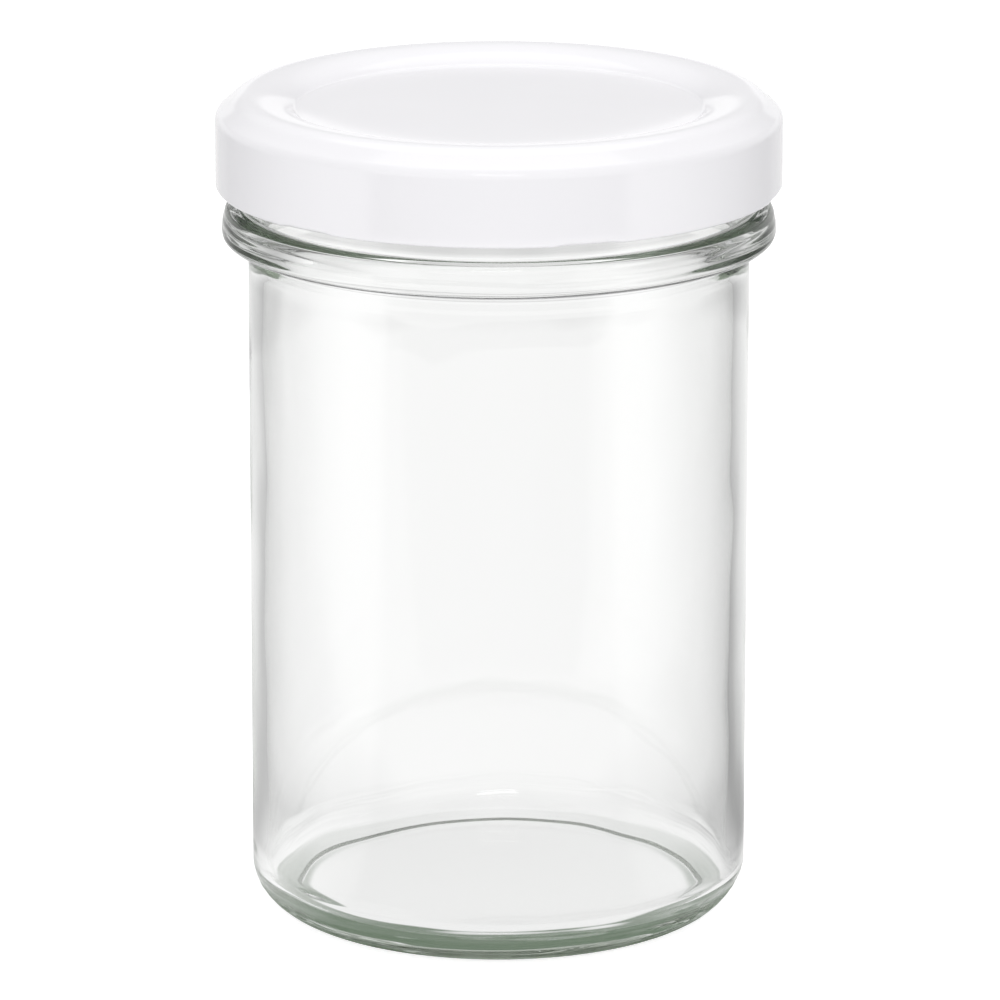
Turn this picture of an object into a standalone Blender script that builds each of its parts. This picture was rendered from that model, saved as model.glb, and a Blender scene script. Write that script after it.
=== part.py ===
"""Straight-sided preserving jar with a six-lug twist-off cap.

The jar stands at the world origin on its bearing ring, +Z is up and the units are metres.
Every turned piece is one half section in the XZ plane, swept round Z by a Screw modifier.
The lengths that belong to the real jar are the constants below and the rest follows from them.
"""
import math

import bmesh
import bpy

MM = 0.001

# Turning
STEPS = 60
MERGE = 0.00005
CLEARANCE = 0.3 * MM

# Glass body
BODY_RADIUS = 38.1 * MM
RIM_TOP_Z = 125.4 * MM
WALL = 2.45 * MM
HEEL_RADIUS = 6.5 * MM
BEARING_WIDTH = 3.0 * MM
BEARING_STEP = 0.35 * MM
PUSH_UP = 1.7 * MM
BASE_THICKNESS = 2.9 * MM

# Glass finish
NECK_STEP = 1.2 * MM
MOUTH_WALL = 3.3 * MM
MOUTH_EASE = 8.0 * MM
RIM_ROUNDING = 1.15 * MM

# Transfer bead under the finish
BEAD_REACH = 4.0 * MM
BEAD_DROP = 6.15 * MM
BEAD_DEPTH = 1.6 * MM
BEAD_HALF_HEIGHT = 1.8 * MM
BEAD_FILLET = 1.3 * MM

# Thread starts on the finish
STARTS = 6
THREAD_SPAN = math.radians(42)
THREAD_FADE = math.radians(8)
THREAD_HEIGHT = 1.7 * MM
THREAD_WIDTH = 2.2 * MM
THREAD_LEAD = 8.0 * MM
THREAD_ROOT = 0.5 * MM
THREAD_UNDERSIDE_DROP = 0.2 * MM
THREAD_BURIED_SHARE = 0.1

# Twist-off cap, set out from the neck and the rim that it fits
CAP_ROOM = 3.7 * MM
CAP_ABOVE_RIM = 1.8 * MM
CAP_HEIGHT = 14.35 * MM
TIN = 0.3 * MM
CURL_RADIUS = 0.75 * MM
SHOULDER_REACH = 1.7 * MM
SHOULDER_RISE = 1.95 * MM
SHOULDER_CENTRE_DROP = 4.1 * MM
CROWN_INSET = 5.1 * MM
CROWN_OUTER_REACH = 4.1 * MM
CROWN_INNER_REACH = 7.8 * MM
CROWN_RISE = 4.25 * MM
CROWN_END = math.radians(50)
SHOULDER_START = math.radians(54)
CREASE_DEPTH = 0.12 * MM
PANEL_RECESS = 2.35 * MM
PANEL_FILLET = 0.9 * MM

# Lugs, the six pressed lengths of the curl that hook under the thread starts
LUG_SPAN = math.radians(12)
LUG_FADE = math.radians(2)
LUG_LAG = math.radians(12)
LUG_REACH = 3.25 * MM
LUG_FOOT = 0.3 * MM
LUG_HEIGHT = 2.1 * MM
LUG_ROUNDING = 0.5 * MM
LUG_END_SHARE = 0.6

# Ring of sealing compound in the channel of the cap, set in from the skirt
SEAL_OUTER_INSET = 3.1 * MM
SEAL_WIDTH = 5.2 * MM

# Radii that follow
INNER_RADIUS = BODY_RADIUS - WALL
BEARING_RADIUS = BODY_RADIUS - HEEL_RADIUS
BEAD_RADIUS = BODY_RADIUS + BEAD_REACH
NECK_RADIUS = BODY_RADIUS + NECK_STEP
MOUTH_RADIUS = NECK_RADIUS - MOUTH_WALL
CAP_RADIUS = NECK_RADIUS + CAP_ROOM
CROWN_RADIUS = CAP_RADIUS - CROWN_INSET
SEAL_OUTER_RADIUS = CAP_RADIUS - SEAL_OUTER_INSET
SEAL_INNER_RADIUS = SEAL_OUTER_RADIUS - SEAL_WIDTH

# Heights that follow
CAP_TOP_Z = RIM_TOP_Z + CAP_ABOVE_RIM
CAP_BOTTOM_Z = CAP_TOP_Z - CAP_HEIGHT
BEAD_CENTRE_Z = CAP_BOTTOM_Z - BEAD_DROP
PANEL_Z = CAP_TOP_Z - PANEL_RECESS
SEAL_BOTTOM_Z = RIM_TOP_Z + CLEARANCE
LUG_TOP_Z = CAP_BOTTOM_Z + LUG_HEIGHT


def arc(centre, reach, start, end, steps):
    """Points along an elliptical arc of the half section, from one angle in degrees to another."""
    points = []
    for i in range(steps + 1):
        angle = math.radians(start + (end - start) * i / steps)
        points.append((centre[0] + reach[0] * math.cos(angle), centre[1] + reach[1] * math.sin(angle)))
    return points


def blend(first, corner, last, steps):
    """Points that round off a corner between two points of the section."""
    points = []
    for i in range(steps + 1):
        share = i / steps
        a, b, c = (1 - share) ** 2, 2 * share * (1 - share), share ** 2
        points.append(tuple(a * p + b * q + c * s for p, q, s in zip(first, corner, last)))
    return points


def shifted(points, distance):
    """The section line moved by one distance to the right of its run."""
    moved = []
    for i, (r, z) in enumerate(points):
        before = points[max(i - 1, 0)]
        after = points[min(i + 1, len(points) - 1)]
        run = (after[0] - before[0], after[1] - before[1])
        length = math.hypot(*run)
        moved.append((r + distance * run[1] / length, z - distance * run[0] / length))
    return moved


def smooth(share):
    """Ease from zero to one with level ends."""
    share = max(0.0, min(1.0, share))
    return share * share * (3 - 2 * share)


def jar_section():
    """Half section of the glass: up the inside, over the rim and down the outside."""
    points = []
    for i in range(4):
        r = BEARING_RADIUS * i / 4
        points.append((r, BASE_THICKNESS + PUSH_UP * (1 - (r / BEARING_RADIUS) ** 2)))
    inner_heel = (INNER_RADIUS - BEARING_RADIUS, HEEL_RADIUS - BASE_THICKNESS)
    points += arc((BEARING_RADIUS, HEEL_RADIUS), inner_heel, -90, 0, 5)
    for i in range(4):
        share = i / 3
        widened = INNER_RADIUS + (MOUTH_RADIUS - INNER_RADIUS) * smooth(share)
        points.append((widened, BEAD_CENTRE_Z - BEAD_HALF_HEIGHT + MOUTH_EASE * share))
    rounding = (RIM_ROUNDING, RIM_ROUNDING)
    rim_centre_z = RIM_TOP_Z - RIM_ROUNDING
    points += arc((MOUTH_RADIUS + RIM_ROUNDING, rim_centre_z), rounding, 180, 90, 4)
    points += arc((NECK_RADIUS - RIM_ROUNDING, rim_centre_z), rounding, 90, 0, 4)
    bead_r = BEAD_RADIUS - BEAD_DEPTH
    upper = bead_r - NECK_RADIUS
    points += arc((bead_r, BEAD_CENTRE_Z + BEAD_HALF_HEIGHT + upper), (upper, upper), 180, 255, 3)
    points += arc((bead_r, BEAD_CENTRE_Z), (BEAD_DEPTH, BEAD_HALF_HEIGHT), 90, -90, 9)
    lower_z = BEAD_CENTRE_Z - BEAD_HALF_HEIGHT
    fillet = (BEAD_FILLET, BEAD_FILLET)
    points += arc((BODY_RADIUS + BEAD_FILLET, lower_z - BEAD_FILLET), fillet, 90, 180, 4)
    points += arc((BEARING_RADIUS, HEEL_RADIUS), (HEEL_RADIUS, HEEL_RADIUS), 0, -90, 7)
    step_r = BEARING_RADIUS - BEARING_WIDTH
    points.append((step_r, 0.0))
    dome_r = step_r - 2 * BEARING_STEP
    for i in range(4, -1, -1):
        r = dome_r * i / 4
        points.append((r, BEARING_STEP + (PUSH_UP - BEARING_STEP) * (1 - (r / dome_r) ** 2)))
    return points


def crown_z(r):
    """Height of the cap's crown above a radius, on its outside."""
    reach = CROWN_OUTER_REACH if r > CROWN_RADIUS else CROWN_INNER_REACH
    return CAP_TOP_Z - CROWN_RISE + CROWN_RISE * math.sqrt(1 - ((r - CROWN_RADIUS) / reach) ** 2)


def cap_outside():
    """Outer line of the cap from the panel's centre, over the crown and down to the curl."""
    crown = (CROWN_RADIUS, CAP_TOP_Z - CROWN_RISE)
    foot = math.degrees(math.pi - math.asin((CROWN_RISE - PANEL_RECESS) / CROWN_RISE))
    inner = arc(crown, (CROWN_INNER_REACH, CROWN_RISE), foot, 90, 6)
    corner = inner[0]
    last = inner[1]
    points = [(0.0, PANEL_Z)]
    points += blend((corner[0] - PANEL_FILLET, PANEL_Z), corner, last, 2)
    points += inner[2:]
    outer = arc(crown, (CROWN_OUTER_REACH, CROWN_RISE), 90, math.degrees(CROWN_END), 3)
    shoulder = arc(
        (CAP_RADIUS - SHOULDER_REACH, CAP_TOP_Z - SHOULDER_CENTRE_DROP),
        (SHOULDER_REACH, SHOULDER_RISE),
        math.degrees(SHOULDER_START),
        0,
        3,
    )
    points += outer[1:]
    crease = ((outer[-1][0] + shoulder[0][0]) / 2, (outer[-1][1] + shoulder[0][1]) / 2)
    lean = math.hypot(CREASE_DEPTH, CREASE_DEPTH) / 2
    points.append((crease[0] - lean, crease[1] - lean))
    points += shoulder
    return points


def cap_section():
    """Half section of the tin: its outside, the curl at its foot, and back along its inside."""
    outside = cap_outside()
    curl = (CAP_RADIUS - CURL_RADIUS, CAP_BOTTOM_Z + CURL_RADIUS)
    inside = shifted(outside, TIN)
    turn_back = math.degrees(math.acos((CURL_RADIUS - TIN) / CURL_RADIUS))
    rolled = arc(curl, (CURL_RADIUS, CURL_RADIUS), 0, turn_back - 360, 9)
    return outside + rolled + inside[::-1]


def seal_section():
    """Half section of the compound: flat on the glass rim, arched up into the crown."""
    points = []
    for i in range(6):
        r = SEAL_INNER_RADIUS + (SEAL_OUTER_RADIUS - SEAL_INNER_RADIUS) * i / 5
        points.append((r, crown_z(r)))
    arched = shifted(points, TIN + CLEARANCE)
    return arched + [(SEAL_OUTER_RADIUS, SEAL_BOTTOM_Z), (SEAL_INNER_RADIUS, SEAL_BOTTOM_Z)]


def thread_section():
    """Section of one thread start: nearly level underneath, sloped above."""
    root = NECK_RADIUS - THREAD_ROOT
    tip = NECK_RADIUS + THREAD_HEIGHT
    third = THREAD_WIDTH / 3
    return [
        (root, 0.0),
        (tip - third, THREAD_UNDERSIDE_DROP),
        (tip, THREAD_UNDERSIDE_DROP + third / 2),
        (tip, third + third / 2),
        (tip - third, THREAD_WIDTH - third / 2),
        (root, THREAD_WIDTH),
    ]


def lug_section():
    """Section of one lug: a rounded tongue that reaches in from the curl."""
    root = CAP_RADIUS - TIN / 2
    tip = CAP_RADIUS - LUG_REACH
    return [
        (root, LUG_FOOT),
        (tip + LUG_ROUNDING, LUG_FOOT),
        (tip, LUG_FOOT + LUG_ROUNDING),
        (tip, LUG_HEIGHT - LUG_ROUNDING),
        (tip + LUG_ROUNDING, LUG_HEIGHT),
        (root, LUG_HEIGHT),
    ]


def new_collection(name):
    made = bpy.data.collections.new(name)
    bpy.context.scene.collection.children.link(made)
    return made


def new_material(name, colour, roughness, metallic=0.0, transmission=0.0, ior=1.5):
    made = bpy.data.materials.new(name)
    made.use_nodes = True
    shader = made.node_tree.nodes["Principled BSDF"]
    shader.inputs["Base Color"].default_value = (*colour, 1.0)
    shader.inputs["Roughness"].default_value = roughness
    shader.inputs["Metallic"].default_value = metallic
    shader.inputs["Transmission Weight"].default_value = transmission
    shader.inputs["IOR"].default_value = ior
    made.diffuse_color = (*colour, 1.0)
    return made


def new_object(name, mesh, home, finish=None, location=(0.0, 0.0, 0.0), parent=None):
    made = bpy.data.objects.new(name, mesh)
    made.location = location
    made.parent = parent
    if finish:
        mesh.materials.append(finish)
    home.objects.link(made)
    return made


def turned(name, points, home, finish, base_z=0.0, closed=False, parent=None, location=(0.0, 0.0, 0.0)):
    """A piece turned from a half section, whose heights are measured from base_z."""
    sketch = bmesh.new()
    verts = [sketch.verts.new((r, 0.0, z - base_z)) for r, z in points]
    ends = verts[1:] + verts[:1] if closed else verts[1:]
    for first, last in zip(verts, ends):
        sketch.edges.new((first, last))
    mesh = bpy.data.meshes.new(name)
    sketch.to_mesh(mesh)
    sketch.free()
    piece = new_object(name, mesh, home, finish, location, parent)
    screw = piece.modifiers.new("Turn", "SCREW")
    screw.axis = "Z"
    screw.angle = math.tau
    screw.steps = STEPS
    screw.render_steps = screw.steps
    screw.use_merge_vertices = True
    screw.merge_threshold = MERGE
    screw.use_smooth_shade = True
    return piece


def swept(name, section, span, rise, fade, end_share, steps):
    """A section spun along a short helix and drawn back to its root at both ends."""
    sketch = bmesh.new()
    verts = [sketch.verts.new((r, 0.0, z)) for r, z in section]
    face = sketch.faces.new(verts)
    bmesh.ops.spin(
        sketch,
        geom=[face, *face.edges, *verts],
        axis=(0.0, 0.0, 1.0),
        dvec=(0.0, 0.0, rise / steps),
        angle=span,
        steps=steps,
    )
    root = section[0][0]
    for vert in sketch.verts:
        angle = math.atan2(vert.co.y, vert.co.x)
        reach = max(end_share, smooth(min(angle, span - angle) / fade))
        drawn = root + (vert.co.xy.length - root) * reach
        vert.co.x = drawn * math.cos(angle)
        vert.co.y = drawn * math.sin(angle)
    bmesh.ops.recalc_face_normals(sketch, faces=sketch.faces)
    mesh = bpy.data.meshes.new(name)
    sketch.to_mesh(mesh)
    sketch.free()
    mesh.shade_smooth()
    return mesh


def joined_round(piece, mesh, home, first_angle, height, parent=None):
    """One copy of a mesh for each thread start, all joined to a piece by a Boolean union."""
    for i in range(STARTS):
        copy = new_object(f"{mesh.name}_{i + 1}", mesh, home, location=(0.0, 0.0, height), parent=parent)
        copy.rotation_euler.z = first_angle + math.tau * i / STARTS
        copy.display_type = "WIRE"
        copy.hide_render = True
    union = piece.modifiers.new("Join", "BOOLEAN")
    union.operation = "UNION"
    union.solver = "EXACT"
    union.operand_type = "COLLECTION"
    union.collection = home


def clear_scene():
    for old in list(bpy.data.objects):
        bpy.data.objects.remove(old, do_unlink=True)


def build():
    clear_scene()
    jar_home = new_collection("preserving_jar")
    thread_home = new_collection("thread_starts")
    lug_home = new_collection("lugs")

    glass = new_material("clear_glass", (0.90, 0.95, 0.92), 0.02, transmission=1.0, ior=1.52)
    enamel = new_material("white_enamelled_tinplate", (0.86, 0.86, 0.87), 0.22)
    compound = new_material("sealing_compound", (0.78, 0.76, 0.70), 0.55)

    # The glass stays put and carries everything
    jar = turned("glass_jar", jar_section(), jar_home, glass)
    thread = swept(
        "thread_start",
        thread_section(),
        THREAD_SPAN,
        THREAD_LEAD * THREAD_SPAN / math.tau,
        THREAD_FADE,
        THREAD_BURIED_SHARE,
        12,
    )
    joined_round(jar, thread, thread_home, -THREAD_SPAN / 2, LUG_TOP_Z + CLEARANCE)

    # The cap turns about the jar's axis and lifts along it with its ring of compound
    axis = new_object("cap_axis", None, jar_home, location=(0.0, 0.0, CAP_BOTTOM_Z))
    cap = turned("lid_shell", cap_section(), jar_home, enamel, CAP_BOTTOM_Z, parent=axis)
    lug = swept("lug", lug_section(), LUG_SPAN, 0.0, LUG_FADE, LUG_END_SHARE, 4)
    joined_round(cap, lug, lug_home, -LUG_LAG - LUG_SPAN / 2, 0.0, parent=axis)
    seal_lift = (0.0, 0.0, SEAL_BOTTOM_Z - CAP_BOTTOM_Z)
    turned("seal_ring", seal_section(), jar_home, compound, SEAL_BOTTOM_Z, True, axis, seal_lift)


build()
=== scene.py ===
"""A preserving jar: a straight glass jar closed by a white twist-off cap, on a pale floor."""
import math

import bmesh
import bpy
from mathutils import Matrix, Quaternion, Vector, noise


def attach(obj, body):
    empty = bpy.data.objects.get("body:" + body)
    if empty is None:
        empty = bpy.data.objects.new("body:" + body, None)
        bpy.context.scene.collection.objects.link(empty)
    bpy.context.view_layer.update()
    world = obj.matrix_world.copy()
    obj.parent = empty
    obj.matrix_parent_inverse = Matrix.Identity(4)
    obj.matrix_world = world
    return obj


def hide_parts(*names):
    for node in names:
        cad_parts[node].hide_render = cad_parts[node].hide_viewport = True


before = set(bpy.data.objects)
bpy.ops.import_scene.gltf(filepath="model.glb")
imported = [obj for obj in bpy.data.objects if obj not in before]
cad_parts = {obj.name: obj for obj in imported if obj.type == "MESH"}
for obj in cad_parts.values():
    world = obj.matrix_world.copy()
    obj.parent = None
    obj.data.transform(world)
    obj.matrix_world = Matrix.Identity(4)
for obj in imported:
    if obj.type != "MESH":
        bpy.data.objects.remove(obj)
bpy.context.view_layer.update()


# The glass jar. Flint soda-lime glass, blown in a mould: a round rim and neck with six thread
# starts, a transfer bead that carried the parison, straight walls, a rounded heel and a pushed-up
# base. The outside is true to the mould and the inside, which only air touched, is a little wavy.
MM = 0.001
body_radius, wall = 38.1, 2.45
inner_radius = body_radius - wall
bearing_radius, heel_height, heel_round, heel_lean, heel_lean_rise = 31.8, 6.3, 1.77, 0.25, 0.6
floor_radius, floor_heel, base_thickness = 31.5, 7.4, 2.9
push_up, bearing_width, bearing_step, bearing_lift = 1.1, 0.18, 0.12, 0.03
bead_radius, bead_z, bead_depth, bead_half, bead_fillet = 42.1, 106.2, 1.6, 1.4, 1.3
bead_rise, bead_slope, ledge, ledge_drop = 4.0, 1.75, 1.85, 0.36
neck_radius, neck_fillet, fillet_end = 39.3, 0.5, 264
mouth_radius, mouth_foot, mouth_ease = 36.9, 100.5, 9.0
rim_z, rim_rounding = 125.4, 1.15
thread_z, thread_reach, thread_width, thread_lead = 115.25, 1.7, 2.2, 8.0
thread_span, thread_fade, starts = 42.0, 8.0, 6
thread_rise, thread_crest, thread_fall = 0.42, 0.52, 0.5
# The rows of the mesh lie close together where they draw the threads and the mould's seam
thread_top, thread_band, neck_rows, seam_band = 119.2, 4.4, (113.6, 112.2, 111.4), 2.4


def arc(centre, reach, start, end, steps):
    """Points of an elliptical arc of a half section, from one angle in degrees to another."""
    turns = [math.radians(start + (end - start) * i / steps) for i in range(steps + 1)]
    return [(centre[0] + reach[0] * math.cos(a), centre[1] + reach[1] * math.sin(a)) for a in turns]


def upright(radius, start, end, steps):
    """Points of a straight stretch of a half section, from one height to another."""
    return [(radius, start + (end - start) * i / steps) for i in range(steps + 1)]


def ease(share):
    """A smooth step: 0 below 0, 1 above 1, and an even curve between."""
    share = max(0.0, min(1.0, share))
    return share * share * (3 - 2 * share)


def dome(r, radius, foot, rise):
    """Height of the pushed-up base at one distance from the axis."""
    return foot + rise * (1 - (r / radius) ** 2) ** 2


def spun(name, section_at, columns, closed):
    """A skin through the half sections that a function gives for each angle, round the Z axis."""
    sheet = bmesh.new()
    rings = []
    for c in range(columns):
        angle = math.tau * c / columns
        line = []
        for i, (r, z) in enumerate(section_at(angle)):
            if rings and r < 1e-6:
                line.append(rings[0][i])
            else:
                line.append(sheet.verts.new((r * math.cos(angle) * MM, r * math.sin(angle) * MM, z * MM)))
        rings.append(line)
    count = len(rings[0])
    for c in range(columns):
        one, two = rings[c], rings[(c + 1) % columns]
        for i in range(count if closed else count - 1):
            j = (i + 1) % count
            corners = [one[i], one[j], two[j], two[i]]
            corners = [v for k, v in enumerate(corners) if v not in corners[:k]]
            sheet.faces.new(corners)
    bmesh.ops.recalc_face_normals(sheet, faces=sheet.faces)
    mesh = bpy.data.meshes.new(name)
    sheet.to_mesh(mesh)
    sheet.free()
    mesh.shade_smooth()
    piece = bpy.data.objects.new(name, mesh)
    bpy.context.scene.collection.objects.link(piece)
    return piece


inside = []
for i in range(14):
    r = floor_radius * i / 14
    inside.append((r, dome(r, floor_radius, base_thickness, push_up)))
heel_reach = (inner_radius - floor_radius, floor_heel - base_thickness)
inside += arc((floor_radius, floor_heel), heel_reach, -90, 0, 24)
inside += upright(inner_radius, floor_heel, mouth_foot, 60)[1:-1]
for i in range(21):
    share = i / 20
    r = inner_radius + (mouth_radius - inner_radius) * ease(share)
    inside.append((r, mouth_foot + mouth_ease * share))
rim_centre = rim_z - rim_rounding
inside += arc((mouth_radius + rim_rounding, rim_centre), (rim_rounding,) * 2, 180, 90, 10)

outside = arc((neck_radius - rim_rounding, rim_centre), (rim_rounding,) * 2, 90, 0, 10)
outside += upright(neck_radius, rim_centre, thread_top, 12)[1:-1]
outside += upright(neck_radius, thread_top, thread_top - thread_band, 32)
outside += [(neck_radius, z) for z in neck_rows]
# The top of the bead is a narrow ledge round the neck, then a slope that runs out to the nose
neck_foot = bead_z + bead_rise
fillet_centre = (neck_radius + neck_fillet, neck_foot + neck_fillet)
outside += arc(fillet_centre, (neck_fillet,) * 2, 180, fillet_end, 10)
for i in range(1, 7):
    share = i / 6
    r = neck_radius + neck_fillet + (ledge - neck_fillet) * share
    outside.append((r, neck_foot - ledge_drop * share ** 2))
nose, fall = bead_radius - neck_radius - ledge, bead_rise - ledge_drop
for i in range(1, 29):
    turn = math.pi / 2 * i / 28
    out = nose * math.sin(turn) ** (2 / bead_slope)
    down = fall * (1 - math.cos(turn) ** (2 / bead_slope))
    outside.append((neck_radius + ledge + out, neck_foot - ledge_drop - down))
outside += arc((bead_radius - bead_depth, bead_z), (bead_depth, bead_half), 0, -90, 16)[1:]
shoulder_z = bead_z - bead_half
wall_top = shoulder_z - bead_fillet
outside += arc((body_radius + bead_fillet, wall_top), (bead_fillet,) * 2, 90, 180, 10)
outside += upright(body_radius, wall_top, wall_top - seam_band, 20)[1:]
outside += upright(body_radius, wall_top - seam_band, heel_height, 20)[1:-1]
for i in range(31):
    turn = math.pi / 2 * i / 30
    out = (body_radius - bearing_radius) * math.cos(turn) ** (2 / heel_round)
    outside.append((bearing_radius + out, heel_height * (1 - math.sin(turn) ** (2 / heel_round))))
step_radius = bearing_radius - bearing_width
outside.append((step_radius, bearing_lift))
dome_radius = step_radius - bearing_step
for i in range(20, -1, -1):
    r = dome_radius * i / 20
    outside.append((r, dome(r, dome_radius, bearing_step, push_up - bearing_step)))

# How far the skin wanders from the true form, in millimetres: the slow swell of the inside, rings
# that the blow left low in the wall at both sides, the mould's seam, and the chill of bead and heel
floor_swell, wall_swell, swell_height, swell_pitch, quick_share = 0.22, 0.16, 34.0, 1.3, 0.35
calm_floor, floor_ease, calm_top = 12.0, 18.0, 9.0
wash_reach, wash_pitch, wash_end, wash_ease, wash_bend = 0.11, 1.25, 12.0, 4.0, 2.2
wash_side, wash_side_ease = 0.80, 0.12
seam_z, seam_reach, seam_width = 102.4, 0.025, 0.28
bead_ripple, ripple_start = 0.11, 0.3
heel_ripple, heel_rings, ring_pitch, ring_bend, front_share = 0.09, 0.045, 0.85, 4.0, 0.3


def settled(angle, z, reach):
    """How far the inside of the glass wanders from round, in millimetres."""
    place = Vector((math.cos(angle) * swell_pitch, math.sin(angle) * swell_pitch, z / swell_height))
    slow = noise.noise(place)
    quick = noise.noise(place * 3.1 + Vector((7.0, 3.0, 1.0)))
    return reach * (slow + quick_share * quick)


def thread_height(angle, z):
    """How far the nearest thread start stands out of the neck."""
    turn = math.degrees(angle) % (360 / starts)
    if turn > 180 / starts:
        turn -= 360 / starts
    along = turn + thread_span / 2
    if not 0 < along < thread_span:
        return 0.0
    across = (z - thread_z - thread_lead * along / 360) / thread_width
    flank = ease(across / thread_rise) * (1 - ease((across - thread_crest) / thread_fall))
    return thread_reach * flank * ease(min(along, thread_span - along) / thread_fade)


def inner_point(angle, r, z):
    """A point of the inside, with the slow swell and the rings of the blow."""
    if z < floor_heel:
        near = ease((r - calm_floor) / floor_ease) * ease((z - base_thickness + 1.2) / 2)
        return r + settled(angle, z * 6, floor_swell) * near * (r > 1e-6), z
    if z > bead_z:
        return r, z
    flank = ease((abs(math.cos(angle)) - wash_side) / wash_side_ease) * ease((wash_end - z) / wash_ease)
    bend = noise.noise(Vector((math.cos(angle), math.sin(angle), 5.0)))
    wash = wash_reach * flank * math.sin(math.tau * z / wash_pitch + wash_bend * bend)
    return r + wash + settled(angle, z, wall_swell) * ease((bead_z - z) / calm_top), z


def outer_point(angle, r, z):
    """A point of the outside, with its thread, seam and ripples, and the lean of the heel."""
    ripple, lean, x, y = 0.0, 0.0, math.cos(angle), math.sin(angle)
    if shoulder_z - ripple_start < z < neck_foot:
        start = ease((z - shoulder_z + ripple_start) / (2 * ripple_start))
        ripple = bead_ripple * noise.noise(Vector((x * 2.2, y * 2.2, z * 1.1))) * start
    elif z < heel_height and r > bearing_radius:
        flow = noise.noise(Vector((x * 1.8, y * 1.8, z * 1.3)))
        rings = heel_rings * (front_share + x ** 2) * math.sin(math.tau * z / ring_pitch + ring_bend * flow)
        ripple = (heel_ripple * flow + rings) * ease(z / 0.8) * ease((heel_height - z) / 1.5)
        up = z / heel_height
        lean = heel_lean * (0.5 + 0.5 * x) * 4 * up * (1 - up)
    seam = seam_reach * math.exp(-(((z - seam_z) / seam_width) ** 2)) if r > inner_radius else 0.0
    return r + thread_height(angle, z) + seam + ripple - lean, z + heel_lean_rise * lean


def glass_section(angle):
    """Half section of the jar, from the middle of its floor over the rim to the middle below."""
    return [inner_point(angle, *p) for p in inside] + [outer_point(angle, *p) for p in outside]


jar = spun("clear_jar", glass_section, 300, False)


def linear(code, alpha=1.0):
    """A colour written as an sRGB hex value, as the linear numbers that a shader takes."""
    parts = [int(code[i:i + 2], 16) / 255 for i in (1, 3, 5)]
    return tuple(p / 12.92 if p <= 0.04045 else ((p + 0.055) / 1.055) ** 2.4 for p in parts) + (alpha,)


def add(tree, kind, values=None, links=None, **settings):
    """Adds one node: its settings, the values of its sockets, and the outputs linked to them."""
    made = tree.nodes.new(kind)
    for name, value in settings.items():
        setattr(made, name, value)
    for socket, value in (values or {}).items():
        made.inputs[socket].default_value = value
    for socket, source in (links or {}).items():
        tree.links.new(source, made.inputs[socket])
    return made


# Soda-lime glass, fire-polished: no haze at all, a faint slow swell in the skin, and a green tint
# from traces of iron that only shows where the light runs a long way through the bead and the base
glass = bpy.data.materials.new("flint_soda_lime_glass")
glass.use_nodes = True
tree = glass.node_tree
tree.nodes.clear()
place = add(tree, "ShaderNodeTexCoord")
swell = add(
    tree, "ShaderNodeTexNoise", {"Scale": 1 / (14 * MM), "Detail": 1.0}, {"Vector": place.outputs["Object"]}
)
skin = add(
    tree, "ShaderNodeBump", {"Strength": 0.12, "Distance": 0.05 * MM}, {"Height": swell.outputs["Fac"]}
)
clear = add(
    tree,
    "ShaderNodeBsdfPrincipled",
    {"Base Color": linear("#FFFFFF"), "Roughness": 0.0, "IOR": 1.52, "Transmission Weight": 1.0},
    {"Normal": skin.outputs["Normal"]},
)
iron = add(tree, "ShaderNodeVolumeAbsorption", {"Color": linear("#ECEFEB"), "Density": 30.0})
add(
    tree,
    "ShaderNodeOutputMaterial",
    None,
    {"Surface": clear.outputs["BSDF"], "Volume": iron.outputs["Volume"]},
)
jar.data.materials.append(glass)
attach(jar, "jar")
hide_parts("glass_jar")


# The ring of sealing compound. Off-white plastisol, poured into the channel of the cap and baked:
# its free face is flat where it was pressed on the rim, and its edges creep up the tin.
seal_in, seal_out, seal_foot, seal_edge, seal_hollow, seal_gap = 34.7, 39.9, 125.7, 0.25, 0.06, 0.3
cap_top, crown_radius, crown_out, crown_in, crown_rise = 127.2, 37.9, 4.1, 7.8, 4.25
tin = 0.3


def crown_z(r):
    """Height of the outside of the cap's crown above a radius."""
    reach = crown_out if r > crown_radius else crown_in
    return cap_top - crown_rise + crown_rise * math.sqrt(1 - ((r - crown_radius) / reach) ** 2)


seal_line = []
for i in range(25):
    r = seal_in + (seal_out - seal_in) * i / 24
    seal_line.append((r, crown_z(r) - tin - seal_gap))
seal_line += [(seal_out, seal_foot + seal_edge), (seal_out - seal_edge, seal_foot)]
for i in range(1, 10):
    share = i / 10
    r = seal_out - seal_edge + (seal_in - seal_out + 2 * seal_edge) * share
    seal_line.append((r, seal_foot + seal_hollow * math.sin(math.pi * share)))
seal_line += [(seal_in + seal_edge, seal_foot), (seal_in, seal_foot + seal_edge)]
seal = spun("plastisol_ring", lambda angle: seal_line, 180, True)

# Baked plastisol: a dull, slightly waxy skin with the fine pits of small bubbles, drawn 0.6 mm
# apart, and a tone that is painted a little darker in the pits: painted shade in them
plastisol = bpy.data.materials.new("baked_plastisol")
plastisol.use_nodes = True
tree = plastisol.node_tree
shader = tree.nodes["Principled BSDF"]
place = add(tree, "ShaderNodeTexCoord")
pits = add(
    tree, "ShaderNodeTexNoise", {"Scale": 1 / (0.6 * MM), "Detail": 3.0}, {"Vector": place.outputs["Object"]}
)
# Painted shade: the noise of the dents darkens the colour where they dip
tone = add(tree, "ShaderNodeValToRGB", None, {"Fac": pits.outputs["Fac"]})
tone.color_ramp.elements[0].color = linear("#D9D5C8")
tone.color_ramp.elements[1].color = linear("#E6E3D8")
dents = add(
    tree, "ShaderNodeBump", {"Strength": 0.35, "Distance": 0.05 * MM}, {"Height": pits.outputs["Fac"]}
)
shader.inputs["Roughness"].default_value = 0.5
shader.inputs["IOR"].default_value = 1.53
tree.links.new(tone.outputs["Color"], shader.inputs["Base Color"])
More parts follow.
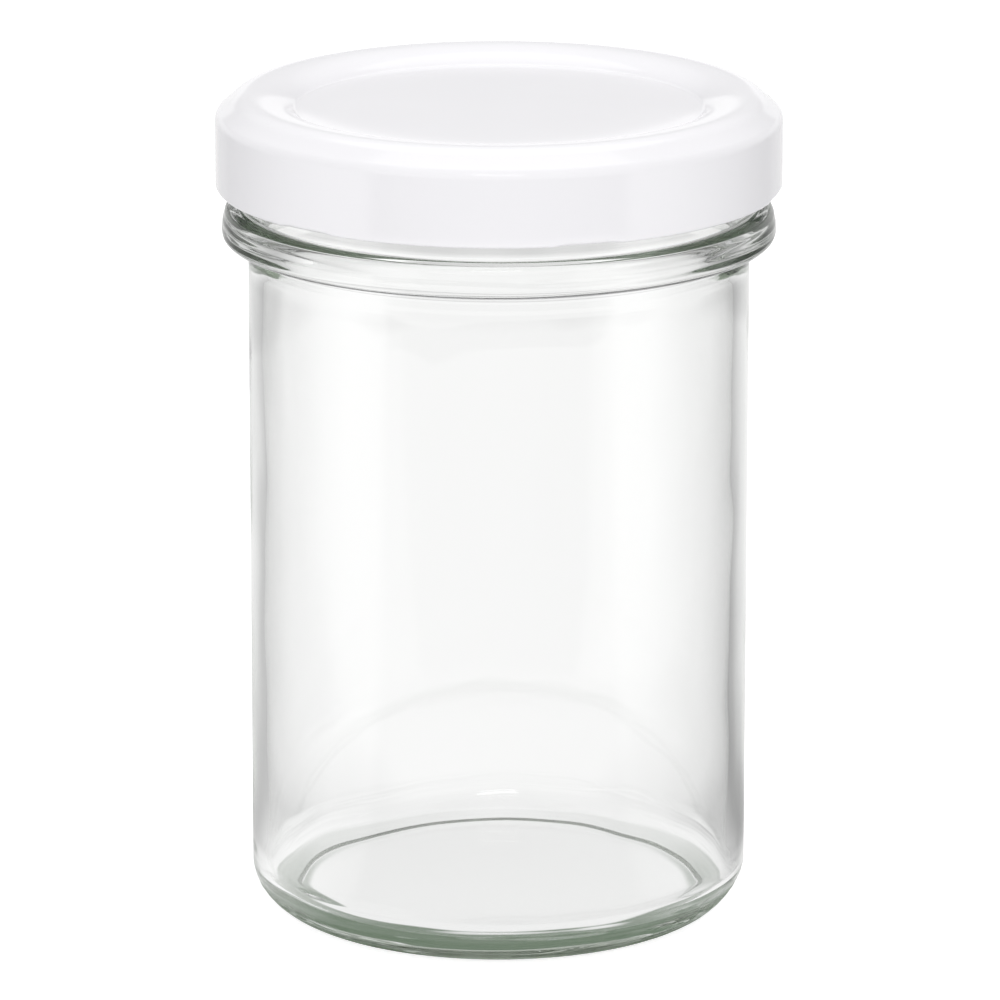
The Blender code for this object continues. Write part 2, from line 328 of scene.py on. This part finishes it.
tree.links.new(dents.outputs["Normal"], shader.inputs["Normal"])
seal.data.materials.append(plastisol)
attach(seal, "seal")
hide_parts("seal_ring")


# The twist-off cap. Tinplate, drawn in one stroke: a sunk panel, a rounded crown, a creased
# shoulder and a straight skirt, whose foot is curled in and pinched into six lugs. The sheet is
# drawn 0.3 mm thick.
cap_radius, cap_foot, curl = 43.0, 112.85, 0.75
panel_z, panel_fillet = 124.85, 0.4
panel_dish, dish_power, panel_lip, lip_power = 0.20, 5, 0.26, 14
shoulder_out, shoulder_rise, shoulder_drop, shoulder_start = 1.7, 1.95, 4.1, 54.0
crown_end, crease = 50.0, 0.084
lug_step, lug_span, lug_lag, lug_fade, lug_reach, lug_top = 360 / starts, 12.0, 12.0, 3.0, 3.25, 2.1
curl_clear = 0.02

crown = (crown_radius, cap_top - crown_rise)
slope_foot = 180 - math.degrees(math.asin((crown_rise - (cap_top - panel_z)) / crown_rise))
inner_slope = arc(crown, (crown_in, crown_rise), slope_foot, 90, 26)
outer_slope = arc(crown, (crown_out, crown_rise), 90, crown_end, 12)
corner, last = inner_slope[0], inner_slope[2]
panel_edge = corner[0] - panel_fillet
top_line = []
for i in range(40):
    share = i / 40
    sag = panel_dish * (1 - share ** dish_power) + panel_lip * (1 - share ** lip_power)
    top_line.append((panel_edge * share, panel_z - sag))
# The panel turns up into the crown's slope on a small curve through the corner between them
for i in range(9):
    share = i / 8
    a, b, c = (1 - share) ** 2, 2 * share * (1 - share), share ** 2
    top_line.append((a * panel_edge + b * corner[0] + c * last[0], (a + b) * panel_z + c * last[1]))
top_line += inner_slope[3:] + outer_slope[1:]
skirt_top = cap_top - shoulder_drop
shoulder = arc((cap_radius - shoulder_out, skirt_top), (shoulder_out, shoulder_rise), shoulder_start, 0, 14)
crease_r, crease_z = [(a + b) / 2 - crease for a, b in zip(outer_slope[-1], shoulder[0])]
top_line += [(crease_r, crease_z)] + shoulder + upright(cap_radius, skirt_top, cap_foot + curl, 9)[1:-1]


def beside(points, distance):
    """A line moved by one distance to the right of its run."""
    moved = []
    for i, (r, z) in enumerate(points):
        before, after = points[max(i - 1, 0)], points[min(i + 1, len(points) - 1)]
        run = (after[0] - before[0], after[1] - before[1])
        length = math.hypot(*run)
        moved.append((max(0.0, r + distance * run[1] / length) if i else 0.0, z - distance * run[0] / length))
    return moved


under_line = beside(top_line, tin)[::-1]
turn_back = 360 - math.degrees(math.acos((curl - tin) / curl))


def cap_section(angle):
    """Half section of the cap, with the curl pinched into a lug where there is one."""
    turn = (math.degrees(angle) + lug_lag + lug_step / 2) % lug_step - lug_step / 2
    pinch = ease((lug_span / 2 + lug_fade / 2 - abs(turn)) / lug_fade)
    reach = curl + (lug_reach / 2 - curl) * pinch
    rise = curl + (lug_top / 2 - curl) * pinch
    rolled = arc((cap_radius - reach, cap_foot + rise), (reach, rise), 0, -turn_back, 30)
    low = [p for p in under_line if p[1] > cap_foot + 2 * rise + curl_clear]
    short = len(under_line) - len(low)
    seam = upright(cap_radius - tin, rolled[-1][1], low[0][1], short + 1)[1:-1]
    return top_line + rolled + seam + low


cap = spun("twist_off_cap", cap_section, 360, False)

# White stoving enamel over tinplate: rolled on the flat sheet and baked, so it has a soft gloss
# and a faint orange peel, about 1.5 mm from swell to swell
enamel = bpy.data.materials.new("white_stoving_enamel")
enamel.use_nodes = True
tree = enamel.node_tree
shader = tree.nodes["Principled BSDF"]
place = add(tree, "ShaderNodeTexCoord")
peel = add(
    tree, "ShaderNodeTexNoise", {"Scale": 1 / (1.5 * MM), "Detail": 2.0}, {"Vector": place.outputs["Object"]}
)
cloud = add(
    tree, "ShaderNodeTexNoise", {"Scale": 1 / (25 * MM), "Detail": 2.0}, {"Vector": place.outputs["Object"]}
)
tone = add(tree, "ShaderNodeValToRGB", None, {"Fac": cloud.outputs["Fac"]})
tone.color_ramp.elements[0].color = linear("#F2F1F4")
tone.color_ramp.elements[1].color = linear("#F5F4F7")
gloss = add(
    tree, "ShaderNodeMapRange", {"To Min": 0.06, "To Max": 0.10}, {"Value": cloud.outputs["Fac"]}
)
ripple = add(
    tree, "ShaderNodeBump", {"Strength": 0.08, "Distance": 0.02 * MM}, {"Height": peel.outputs["Fac"]}
)
shader.inputs["IOR"].default_value = 1.5
tree.links.new(tone.outputs["Color"], shader.inputs["Base Color"])
tree.links.new(gloss.outputs["Result"], shader.inputs["Roughness"])
tree.links.new(ripple.outputs["Normal"], shader.inputs["Normal"])
cap.data.materials.append(enamel)
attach(cap, "cap")
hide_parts("lid_shell")


# The floor. A wide disc of matt white board. It looks white to the camera and keeps the jar's soft
# shadow; what glass and gloss show of it is painted light and shade by direction, a glow that stands
# in for a board lit by soft boxes.
board_radius, board_drop = 3.0, 0.1 * MM
board = bmesh.new()
bmesh.ops.create_circle(board, cap_ends=True, segments=96, radius=board_radius)
mesh = bpy.data.meshes.new("floor_board")
board.to_mesh(mesh)
board.free()
floor = bpy.data.objects.new("floor_board", mesh)
floor.location.z = -board_drop
bpy.context.scene.collection.objects.link(floor)


def greys(ramp, stops):
    """Sets a colour ramp to a row of places from 0 to 1, each with its level of grey."""
    ramp.elements.remove(ramp.elements[1])
    ramp.elements[0].position = stops[0][0]
    for place_on, _ in stops[1:]:
        ramp.elements.new(place_on)
    for stop, (_, level) in zip(ramp.elements, stops):
        stop.color = (level, level, level, 1.0)


# Matt paper: no gloss of its own, and the light that it sends into the glass is painted: a glow
# whose level changes round the jar, painted light and shade in place of soft boxes.
# Bearings run from -180 to 180 degrees with 0 straight behind the jar, and a ramp has them as 0 to 1.
paper = bpy.data.materials.new("matt_white_board")
paper.use_nodes = True
tree = paper.node_tree
tree.nodes.clear()
spot = add(tree, "ShaderNodeNewGeometry")
path = add(tree, "ShaderNodeLightPath")
axes = add(tree, "ShaderNodeSeparateXYZ", None, {"Vector": spot.outputs["Position"]})
bearing = add(
    tree, "ShaderNodeMath", None, {0: axes.outputs["X"], 1: axes.outputs["Y"]}, operation="ARCTAN2"
)
round_share = add(
    tree,
    "ShaderNodeMapRange",
    {"From Min": -math.pi, "From Max": math.pi},
    {"Value": bearing.outputs["Value"]},
)
radius = add(
    tree, "ShaderNodeVectorMath", None, {"Vector": spot.outputs["Position"]}, operation="LENGTH"
)
brightest = 1.6
# Painted light and shade: the level of the glow at each bearing, in degrees
ring_light = [
    (-180, 0.78), (-130, 0.72), (-126, 1.08), (-108, 1.37), (-92, 1.22), (-76, 0.80),
    (-60, 0.54), (-44, 0.56), (-35, 0.76), (-26, 0.87), (-15, 1.00), (-11, 1.00),
    (11, 0.98), (15, 0.98), (26, 0.86), (35, 0.77), (46, 0.44), (60, 0.36), (80, 0.69),
    (96, 0.99), (110, 1.15), (126, 1.10), (130, 0.84), (180, 0.78),
]
shade = add(tree, "ShaderNodeValToRGB", None, {"Fac": round_share.outputs["Result"]})
greys(shade.color_ramp, [((degrees + 180) / 360, level / brightest) for degrees, level in ring_light])

# The painted light on the board ends 0.44 m in front of the jar, and beyond it the board is
# painted dark: painted shade for the dark of the room that the glass mirrors
ahead = add(tree, "ShaderNodeValToRGB", None, {"Fac": round_share.outputs["Result"]})
greys(ahead.color_ramp, [(0.0, 1.0), (0.135, 1.0), (0.147, 0.0), (0.853, 0.0), (0.865, 1.0), (1.0, 1.0)])
beyond = add(
    tree,
    "ShaderNodeMapRange",
    {"From Min": 0.436, "From Max": 0.448, "To Max": 0.92},
    {"Value": radius.outputs["Value"]},
)
dark_room = add(
    tree,
    "ShaderNodeMath",
    None,
    {0: ahead.outputs["Color"], 1: beyond.outputs["Result"]},
    operation="MULTIPLY",
)
lit = add(tree, "ShaderNodeMath", {0: 1.0}, {1: dark_room.outputs["Value"]}, operation="SUBTRACT")

# Behind the jar the board is painted greyer from 0.4 m on, for the glass only: painted shade that
# the neck shows under the cap, in place of the cap's shadow there; the distance in metres is the
# place on the ramp
far_share = add(tree, "ShaderNodeMapRange", {"From Max": 1.0}, {"Value": radius.outputs["Value"]})
painted_far_shade = add(tree, "ShaderNodeValToRGB", None, {"Fac": far_share.outputs["Result"]})
greys(
    painted_far_shade.color_ramp,
    [(0.0, 1.0), (0.380, 1.0), (0.435, 0.70), (0.47, 0.75), (0.60, 0.89), (0.85, 1.0), (1.0, 1.0)],
)
rear = add(tree, "ShaderNodeValToRGB", None, {"Fac": round_share.outputs["Result"]})
greys(rear.color_ramp, [(0.0, 0.0), (0.22, 0.0), (0.42, 1.0), (0.58, 1.0), (0.78, 0.0), (1.0, 0.0)])
rear_seen = add(
    tree,
    "ShaderNodeMath",
    None,
    {0: path.outputs["Is Transmission Ray"], 1: rear.outputs["Color"]},
    operation="MULTIPLY",
)
depth = add(
    tree, "ShaderNodeMix", {"A": 1.0}, {"Factor": rear_seen.outputs["Value"], "B": painted_far_shade.outputs["Color"]}
)
near = add(
    tree,
    "ShaderNodeMath",
    None,
    {0: depth.outputs["Result"], 1: lit.outputs["Value"]},
    operation="MULTIPLY",
)
table = add(
    tree,
    "ShaderNodeMath",
    None,
    {0: shade.outputs["Color"], 1: near.outputs["Value"]},
    operation="MULTIPLY",
)

# Under the jar's base the board is evenly lit, through the glass
base_level = 0.94
away = add(
    tree,
    "ShaderNodeMapRange",
    {"From Min": 0.040, "From Max": 0.062},
    {"Value": radius.outputs["Value"]},
    interpolation_type="SMOOTHSTEP",
)
spread = add(
    tree,
    "ShaderNodeMix",
    {"A": base_level / brightest},
    {"Factor": away.outputs["Result"], "B": table.outputs["Value"]},
)

# The wedge of floor under the heel is painted as the jar's own shadow: a painted shadow, deepest on
# the side away from the light at the back, and painted green for the light that comes to it through
# the glass
wedge = add(tree, "ShaderNodeMapRange", {"From Max": 0.050}, {"Value": radius.outputs["Value"]})
wedge_in = add(tree, "ShaderNodeValToRGB", None, {"Fac": wedge.outputs["Result"]})
greys(wedge_in.color_ramp, [(0.0, 0.0), (0.58, 0.0), (0.60, 1.0), (0.755, 1.0), (0.80, 0.0)])
deep = add(tree, "ShaderNodeValToRGB", None, {"Fac": round_share.outputs["Result"]})
greys(
    deep.color_ramp,
    [
        (0.0, 1.0), (0.13, 1.0), (0.20, 0.85), (0.27, 0.7), (0.35, 0.25), (0.5, 0.0),
        (0.65, 0.25), (0.73, 0.7), (0.80, 0.85), (0.87, 1.0), (1.0, 1.0),
    ],
)
amount = add(
    tree,
    "ShaderNodeMath",
    None,
    {0: wedge_in.outputs["Color"], 1: deep.outputs["Color"]},
    operation="MULTIPLY",
)
# A mix of colours has its own sockets in the mix node, which share their names with the others
mix_factor, mix_a, mix_b, mix_result = 0, 6, 7, 2
# Painted shadow: the board's glow mixed towards dark green in the wedge under the heel
painted_wedge_shadow = add(
    tree,
    "ShaderNodeMix",
    {mix_b: tuple(c / brightest for c in linear("#6E7E6C")[:3]) + (1.0,)},
    {mix_factor: amount.outputs["Value"], mix_a: spread.outputs["Result"]},
    data_type="RGBA",
)
seen = add(
    tree, "ShaderNodeEmission", {"Strength": brightest}, {"Color": painted_wedge_shadow.outputs[mix_result]}
)

# To the camera the board glows up to white round its own shadow. Its bounce fills the cap's skirt
# from the front and the back, and leaves its two sides greyer
camera_glow, bounce_glow = 0.75, 0.37
matt = add(tree, "ShaderNodeBsdfDiffuse", {"Color": linear("#E7E7E7")})
outward = add(
    tree, "ShaderNodeVectorMath", None, {"Vector": spot.outputs["Position"]}, operation="NORMALIZE"
)
across = add(tree, "ShaderNodeSeparateXYZ", None, {"Vector": outward.outputs["Vector"]})
aside = add(tree, "ShaderNodeMath", None, {0: across.outputs["X"]}, operation="ABSOLUTE")
bounce = add(
    tree,
    "ShaderNodeMapRange",
    {"From Min": 0.72, "From Max": 1.0, "To Min": bounce_glow, "To Max": 0.0},
    {"Value": aside.outputs["Value"]},
)
glow_level = add(
    tree,
    "ShaderNodeMapRange",
    {"To Max": camera_glow},
    {"Value": path.outputs["Is Camera Ray"], "To Min": bounce.outputs["Result"]},
)
glow = add(
    tree, "ShaderNodeEmission", {"Color": linear("#FFFFFF")}, {"Strength": glow_level.outputs["Result"]}
)
plain = add(tree, "ShaderNodeAddShader", None, {0: matt.outputs["BSDF"], 1: glow.outputs["Emission"]})
mirrored = add(
    tree,
    "ShaderNodeMath",
    None,
    {0: path.outputs["Is Glossy Ray"], 1: path.outputs["Is Transmission Ray"]},
    operation="MAXIMUM",
)
both = add(
    tree,
    "ShaderNodeMixShader",
    None,
    {0: mirrored.outputs["Value"], 1: plain.outputs["Shader"], 2: seen.outputs["Emission"]},
)
add(tree, "ShaderNodeOutputMaterial", None, {"Surface": both.outputs["Shader"]})
mesh.materials.append(paper)


# The light. A plain pale studio: white near the horizon and greyer above it, one soft box over
# the jar and one in front of it, high enough to draw its short bright lines on bead and heel.
world = bpy.data.worlds.new("pale_studio")
bpy.context.scene.world = world
world.use_nodes = True
tree = world.node_tree
tree.nodes.clear()
way = add(tree, "ShaderNodeTexCoord")
path = add(tree, "ShaderNodeLightPath")
axes = add(tree, "ShaderNodeSeparateXYZ", None, {"Vector": way.outputs["Generated"]})

# Gloss mirrors a wall that is bright low down and grey from about 12 degrees up, behind the jar
mirror_level = 0.98
height = add(tree, "ShaderNodeValToRGB", None, {"Fac": axes.outputs["Z"]})
greys(
    height.color_ramp,
    [(0.0, 0.98), (0.172, 0.98), (0.20, 0.56), (0.35, 0.50), (0.55, 0.65), (0.8, 0.8), (1.0, 0.9)],
)
back = add(tree, "ShaderNodeMapRange", {"From Min": 0.45, "From Max": 0.92}, {"Value": axes.outputs["Y"]})
over = add(
    tree,
    "ShaderNodeMix",
    {"A": mirror_level},
    {"Factor": back.outputs["Result"], "B": height.outputs["Color"]},
)
around = add(tree, "ShaderNodeBackground", {"Strength": 1.0}, {"Color": over.outputs["Result"]})

# Glass shows a wall that is darkest at the horizon, with one even grey straight behind the jar
straight_level = 0.74
through = add(tree, "ShaderNodeValToRGB", None, {"Fac": axes.outputs["Z"]})
greys(through.color_ramp, [(0.0, 0.2), (0.08, 0.25), (0.16, 0.8), (0.40, 0.7), (0.50, 0.45), (1.0, 0.6)])
straight = add(tree, "ShaderNodeMapRange", {"From Min": 0.7, "From Max": 0.95}, {"Value": axes.outputs["Y"]})
horizon = add(
    tree,
    "ShaderNodeMix",
    {"B": straight_level},
    {"Factor": straight.outputs["Result"], "A": through.outputs["Color"]},
)
behind = add(tree, "ShaderNodeBackground", {"Strength": 1.0}, {"Color": horizon.outputs["Result"]})

# The light that falls on the enamel is weaker from both sides, low down
side = add(tree, "ShaderNodeMath", None, {0: axes.outputs["X"]}, operation="ABSOLUTE")
low = add(tree, "ShaderNodeMapRange", {"From Min": 0.46, "From Max": 0.1}, {"Value": axes.outputs["Z"]})
low_side = add(
    tree, "ShaderNodeMath", None, {0: side.outputs["Value"], 1: low.outputs["Result"]}, operation="MULTIPLY"
)
dimmer = add(
    tree,
    "ShaderNodeMapRange",
    {"From Min": 0.35, "From Max": 0.85, "To Min": 0.84, "To Max": 0.02},
    {"Value": low_side.outputs["Value"]},
)
fill = add(tree, "ShaderNodeBackground", {"Color": linear("#FFFFFF")}, {"Strength": dimmer.outputs["Result"]})
white = add(tree, "ShaderNodeBackground", {"Color": linear("#FFFFFF"), "Strength": 1.0})
shown = fill
for ray, seen_by in (("Is Glossy Ray", around), ("Is Transmission Ray", behind), ("Is Camera Ray", white)):
    shown = add(
        tree, "ShaderNodeMixShader", None, {0: path.outputs[ray], 1: shown.outputs[0], 2: seen_by.outputs[0]}
    )
add(tree, "ShaderNodeOutputWorld", None, {"Surface": shown.outputs["Shader"]})

lit_point = Vector((0.0, 0.0, 0.09))
for name, spot, size, power, mirrored in (
    ("soft_box_above", (0.0, 0.15, 1.0), (0.9, 0.9), 2.18, True),
    ("soft_box_front", (-0.007, -0.78, 0.62), (0.30, 0.12), 0.35, True),
    ("front_fill", (0.0, -0.70, 0.90), (0.9, 0.7), 0.92, False),
):
    lamp = bpy.data.lights.new(name, "AREA")
    lamp.shape = "RECTANGLE"
    lamp.size, lamp.size_y = size
    lamp.energy = power
    holder = bpy.data.objects.new(name, lamp)
    holder.location = spot
    holder.rotation_mode = "QUATERNION"
    holder.rotation_quaternion = (lit_point - Vector(spot)).to_track_quat("-Z", "Y")
    holder.visible_camera = False
    holder.visible_glossy = holder.visible_transmission = mirrored
    bpy.context.scene.collection.objects.link(holder)


# The camera. A long lens 1.12 m away, 15 degrees above the middle of the jar.
aim = Vector((0.00020, 0.0, 0.06329))
distance, rise, roll = 1.12, math.radians(15.25), math.radians(0.05)
eye = aim + distance * Vector((0.0, -math.cos(rise), math.sin(rise)))
lens = bpy.data.cameras.new("photo_camera")
lens.sensor_width = 36.0
lens.lens = 262.9
lens.clip_start, lens.clip_end = 0.05, 20.0
camera = bpy.data.objects.new("photo_camera", lens)
camera.rotation_mode = "QUATERNION"
camera.location = eye
camera.rotation_quaternion = (aim - eye).to_track_quat("-Z", "Y") @ Quaternion((0.0, 0.0, 1.0), roll)
bpy.context.scene.collection.objects.link(camera)
bpy.context.scene.camera = camera
bpy.context.scene.view_settings.view_transform = "Standard"
# Light runs a long way inside the bead and the heel, so it is followed further than usual
bounces = 96
cycles = bpy.context.scene.cycles
cycles.max_bounces = cycles.transmission_bounces = cycles.glossy_bounces = bounces
